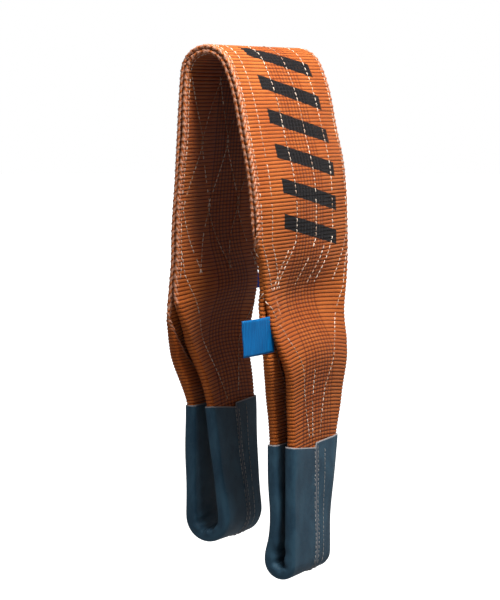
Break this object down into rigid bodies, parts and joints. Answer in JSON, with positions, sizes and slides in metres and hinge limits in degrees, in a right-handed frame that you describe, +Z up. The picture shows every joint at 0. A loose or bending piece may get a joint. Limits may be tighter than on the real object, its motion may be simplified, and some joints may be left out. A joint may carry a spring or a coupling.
{
  "type": "flat web lifting sling",
  "caption": "Flat two-ply webbing lifting sling hung doubled over a bar, with a folded and sleeved eye at each end, stitching rows and sewn-in blank labels.",
  "frame": {"origin": "on the axis of the bar that the doubled sling hangs over, in the middle of the webbing's width", "axes": "+Z up; +X from the left leg to the right leg; +Y across the webbing from its front edge to its back edge, along the bar's axis"},
  "size_m": [0.1241, 0.2248, 0.5067],
  "materials": {
    "webbing": "ribbed polyester webbing, slightly glossy yarn",
    "thread": "pale polyester thread",
    "sleeve": "coated wear-sleeve fabric, satin",
    "sleeve_thread": "pale beige thread",
    "label": "coated woven label, light blue",
    "tag": "woven tag, dark blue"
  },
  "bodies": {
    "top_bend": {"inner_ply_top": "webbing", "outer_ply_top": "webbing", "stitching_top": "thread"},
    "right_leg": {"outer_ply_right": "webbing", "inner_ply_right": "webbing", "stitching_right": "thread", "bobbin_stitching_right": "thread", "crotch_stitching_right": "thread"},
    "left_leg": {"outer_ply_left": "webbing", "inner_ply_left": "webbing", "stitching_left": "thread", "bobbin_stitching_left": "thread", "crotch_stitching_left": "thread"},
    "right_eye": {"eye_web_right": "webbing", "fold_stitching_right": "thread", "eye_sleeve_right": "sleeve", "sleeve_seam_right": "sleeve_thread", "identification_label_root": "label"},
    "left_eye": {"eye_web_left": "webbing", "fold_stitching_left": "thread", "eye_sleeve_left": "sleeve", "sleeve_seam_left": "sleeve_thread", "small_tag_root": "tag"},
    "label_flap": {"identification_label": "label"},
    "tag_flap": {"small_tag": "tag"}
  },
  "joints": [
    {"name": "right_leg_swing", "type": "hinge", "parent": "top_bend", "child": "right_leg", "pos_m": [0.02189, 0, 0.01021], "axis": [0, -1, 0], "range_deg": [-1, 55]},
    {"name": "left_leg_swing", "type": "hinge", "parent": "top_bend", "child": "left_leg", "pos_m": [-0.02378, 0, 0.00419], "axis": [0, 1, 0], "range_deg": [-1, 55]},
    {"name": "right_eye_swing", "type": "hinge", "parent": "right_leg", "child": "right_eye", "pos_m": [0.0581, 0, -0.20166], "axis": [0, -1, 0], "range_deg": [-2, 35]},
    {"name": "left_eye_swing", "type": "hinge", "parent": "left_leg", "child": "left_eye", "pos_m": [-0.03776, 0, -0.19216], "axis": [0, 1, 0], "range_deg": [-2, 35]},
    {"name": "label_flap_swing", "type": "hinge", "parent": "right_eye", "child": "label_flap", "pos_m": [0.05795, -0.087, -0.24166], "axis": [0, 0, 1], "range_deg": [-60, 60], "stiffness_Nm_per_rad": 0.002},
    {"name": "tag_flap_swing", "type": "hinge", "parent": "left_eye", "child": "tag_flap", "pos_m": [-0.03761, 0.087, -0.21766], "axis": [0, 0, 1], "range_deg": [-60, 60], "stiffness_Nm_per_rad": 0.001}
  ]
}
